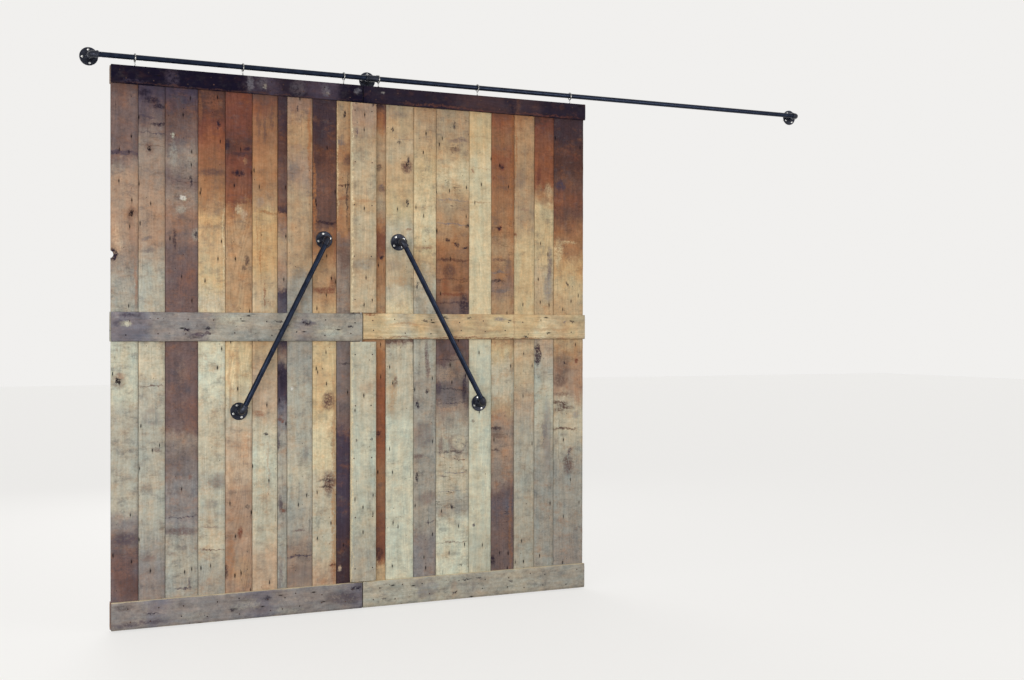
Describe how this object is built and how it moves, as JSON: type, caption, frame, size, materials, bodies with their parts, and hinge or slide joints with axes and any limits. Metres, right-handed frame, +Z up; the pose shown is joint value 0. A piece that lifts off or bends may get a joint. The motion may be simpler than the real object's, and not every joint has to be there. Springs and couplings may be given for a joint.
{
  "type": "sliding barn doors",
  "caption": "Pair of sliding doors of reclaimed planks, hung by eye bolts from a wall rail of iron pipe, with slanting pipe handles.",
  "frame": {"origin": "centre of the middle wall flange, on the wall's face", "axes": "+X along the pipe rail to the right as seen from the room, +Y into the wall, +Z up"},
  "size_m": [4.304, 0.2022, 2.833],
  "materials": {
    "black_iron": "black iron pipe and malleable castings, satin with a bluish sheen",
    "zinc_steel": "bright zinc-plated steel",
    "left_plank_01": "reclaimed sawn softwood, unfinished, with stains, nail holes and old paint",
    "left_plank_02": "reclaimed sawn softwood, unfinished, with stains, nail holes and old paint",
    "left_plank_03": "reclaimed sawn softwood, unfinished, with stains, nail holes and old paint",
    "left_plank_04": "reclaimed sawn softwood, unfinished, with stains, nail holes and old paint",
    "left_plank_05": "reclaimed sawn softwood, unfinished, with stains, nail holes and old paint",
    "left_plank_06": "reclaimed sawn softwood, unfinished, with stains, nail holes and old paint",
    "left_plank_07": "reclaimed sawn softwood, unfinished, with stains, nail holes and old paint",
    "left_plank_08": "reclaimed sawn softwood, unfinished, with stains, nail holes and old paint",
    "left_plank_09": "reclaimed sawn softwood, unfinished, with stains, nail holes and old paint",
    "left_plank_10": "reclaimed sawn softwood, unfinished, with stains, nail holes and old paint",
    "right_plank_01": "reclaimed sawn softwood, unfinished, with stains, nail holes and old paint",
    "right_plank_02": "reclaimed sawn softwood, unfinished, with stains, nail holes and old paint",
    "right_plank_03": "reclaimed sawn softwood, unfinished, with stains, nail holes and old paint",
    "right_plank_04": "reclaimed sawn softwood, unfinished, with stains, nail holes and old paint",
    "right_plank_05": "reclaimed sawn softwood, unfinished, with stains, nail holes and old paint",
    "right_plank_06": "reclaimed sawn softwood, unfinished, with stains, nail holes and old paint",
    "right_plank_07": "reclaimed sawn softwood, unfinished, with stains, nail holes and old paint",
    "right_plank_08": "reclaimed sawn softwood, unfinished, with stains, nail holes and old paint",
    "right_plank_09": "reclaimed sawn softwood, unfinished, with stains, nail holes and old paint",
    "left_top_rail": "reclaimed sawn softwood, unfinished, with stains, nail holes and old paint",
    "left_middle_rail": "reclaimed sawn softwood, unfinished, with stains, nail holes and old paint",
    "left_bottom_rail": "reclaimed sawn softwood, unfinished, with stains, nail holes and old paint",
    "right_top_rail": "reclaimed sawn softwood, unfinished, with stains, nail holes and old paint",
    "right_middle_rail": "reclaimed sawn softwood, unfinished, with stains, nail holes and old paint",
    "right_bottom_rail": "reclaimed sawn softwood, unfinished, with stains, nail holes and old paint",
    "left_cover": "reclaimed sawn softwood, unfinished, with stains, nail holes and old paint",
    "battens": "reclaimed sawn softwood, unfinished, with stains, nail holes and old paint"
  },
  "bodies": {
    "rail": {"rail_elbow_left": "black_iron", "rail_tee": "black_iron", "rail_elbow_right": "black_iron", "rail_pipe_left": "black_iron", "rail_pipe_right": "black_iron", "wall_flange_left": "black_iron", "wall_flange_middle": "black_iron", "wall_flange_right": "black_iron", "wall_nipples": "black_iron", "wall_screws": "zinc_steel"},
    "left_door": {"left_eye_bolts": "zinc_steel", "left_handle_pipe": "black_iron", "left_handle_elbows": "black_iron", "left_handle_nipples": "black_iron", "left_handle_flanges": "black_iron", "left_handle_screws": "zinc_steel", "left_plank_01": "left_plank_01", "left_plank_02": "left_plank_02", "left_plank_03": "left_plank_03", "left_plank_04": "left_plank_04", "left_plank_05": "left_plank_05", "left_plank_06": "left_plank_06", "left_plank_07": "left_plank_07", "left_plank_08": "left_plank_08", "left_plank_09": "left_plank_09", "left_plank_10": "left_plank_10", "left_top_rail": "left_top_rail", "left_top_batten": "battens", "left_middle_rail": "left_middle_rail", "left_middle_batten": "battens", "left_bottom_rail": "left_bottom_rail", "left_bottom_batten": "battens", "left_cover_upper": "left_cover", "left_cover_lower": "left_cover"},
    "right_door": {"right_eye_bolts": "zinc_steel", "right_handle_pipe": "black_iron", "right_handle_elbows": "black_iron", "right_handle_nipples": "black_iron", "right_handle_flanges": "black_iron", "right_handle_screws": "zinc_steel", "right_plank_01": "right_plank_01", "right_plank_02": "right_plank_02", "right_plank_03": "right_plank_03", "right_plank_04": "right_plank_04", "right_plank_05": "right_plank_05", "right_plank_06": "right_plank_06", "right_plank_07": "right_plank_07", "right_plank_08": "right_plank_08", "right_plank_09": "right_plank_09", "right_top_rail": "right_top_rail", "right_top_batten": "battens", "right_middle_rail": "right_middle_rail", "right_middle_batten": "battens", "right_bottom_rail": "right_bottom_rail", "right_bottom_batten": "battens"}
  },
  "joints": [
    {"name": "left_door_slide", "type": "slide", "parent": "rail", "child": "left_door", "axis": [1, 0, 0], "range_m": [-0.1691, 0]},
    {"name": "right_door_slide", "type": "slide", "parent": "rail", "child": "right_door", "axis": [1, 0, 0], "range_m": [0, 1.5591]}
  ]
}
